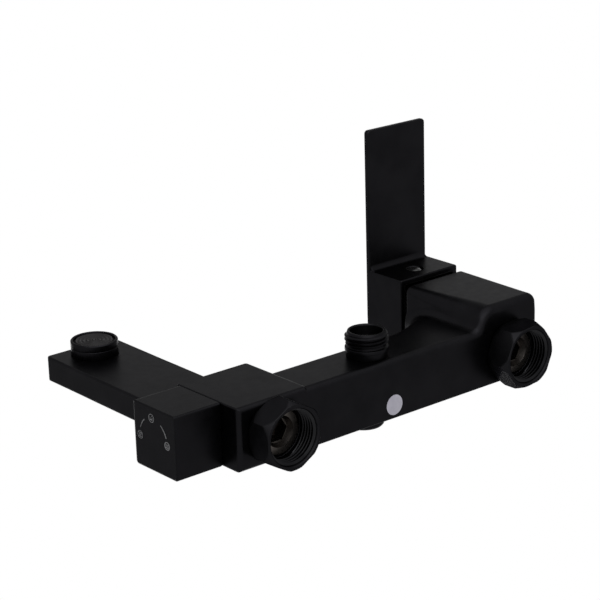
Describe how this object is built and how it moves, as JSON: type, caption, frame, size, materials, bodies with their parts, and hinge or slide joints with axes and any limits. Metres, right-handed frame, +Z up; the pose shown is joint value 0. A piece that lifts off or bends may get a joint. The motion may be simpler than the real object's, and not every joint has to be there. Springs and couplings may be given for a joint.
{
  "type": "wall mounted bath faucet",
  "caption": "Square wall mounted bath and shower mixer in matte black: crossbar, flat spout, lever cartridge, diverter knob, hose and riser outlets.",
  "frame": {"origin": "midway between the wall ends of the two union nuts, on the line through the inlet axes", "axes": "+Z up as installed, +Y into the wall, +X to the right seen from the front"},
  "size_m": [0.2161, 0.1692, 0.1203],
  "materials": {
    "black_finish": "satin",
    "blank_label": "matte",
    "grey_plastic": "matte",
    "white_plastic": "matte",
    "black_plastic": "matte",
    "black_rubber": "matte",
    "nickel": "polished",
    "brass": "machined",
    "steel": "machined",
    "ceramic_disc": "lapped",
    "gloss_plug": "gloss",
    "grey_print": "matte"
  },
  "bodies": {
    "body": {"body_casting": "black_finish", "riser_collar": "black_finish", "label_disc": "blank_label", "spout": "black_finish", "aerator_housing": "black_finish", "aerator_insert": "grey_plastic", "aerator_gasket": "black_rubber", "hose_nipple": "black_finish", "hose_seal": "black_rubber", "check_valve": "black_plastic", "inlet_nipple_left": "nickel", "inlet_nipple_right": "nickel", "inlet_seals": "black_rubber", "cartridge_shell": "white_plastic", "cartridge_base": "grey_plastic", "port_seals": "black_rubber", "fixed_disc": "ceramic_disc", "cartridge_nut": "brass", "cover_collar": "black_finish", "diverter_sleeve": "brass", "diverter_seals": "black_rubber", "diverter_nut": "brass"},
    "rotor": {"cartridge_rotor": "white_plastic", "pivot_pin": "steel"},
    "disc_slide": {"moving_disc": "ceramic_disc", "disc_carrier": "grey_plastic"},
    "lever": {"lever_stem": "brass", "lever_handle": "black_finish", "set_screw": "steel", "screw_plug": "gloss_plug"},
    "diverter": {"diverter_plug": "white_plastic", "diverter_stem": "brass", "knob_adaptor": "white_plastic", "diverter_knob": "black_finish", "knob_marks": "grey_print"},
    "left_nut": {"union_nut_left": "black_finish"},
    "right_nut": {"union_nut_right": "black_finish"}
  },
  "joints": [
    {"name": "temperature", "type": "hinge", "parent": "body", "child": "rotor", "pos_m": [0.075, -0.0685, -0.0048], "axis": [0, 1, 0], "range_deg": [-45, 45]},
    {"name": "flow", "type": "hinge", "parent": "rotor", "child": "lever", "pos_m": [0.075, -0.0685, -0.0048], "axis": [-1, 0, 0], "range_deg": [0, 18]},
    {"name": "disc_shift", "type": "slide", "parent": "rotor", "child": "disc_slide", "axis": [0, 0, -1], "range_m": [0, 0.0035]},
    {"name": "diverter_turn", "type": "hinge", "parent": "body", "child": "diverter", "pos_m": [-0.1, -0.0418, 0.0005], "axis": [1, 0, 0], "range_deg": [-90, 90]},
    {"name": "left_nut_spin", "type": "hinge", "parent": "body", "child": "left_nut", "pos_m": [-0.075, 0, 0], "axis": [0, 1, 0], "continuous": true},
    {"name": "right_nut_spin", "type": "hinge", "parent": "body", "child": "right_nut", "pos_m": [0.075, 0, 0], "axis": [0, 1, 0], "continuous": true}
  ],
  "couplings": [
    {"joint": "disc_shift", "follows": "flow", "m_per_rad": 0.01095}
  ]
}
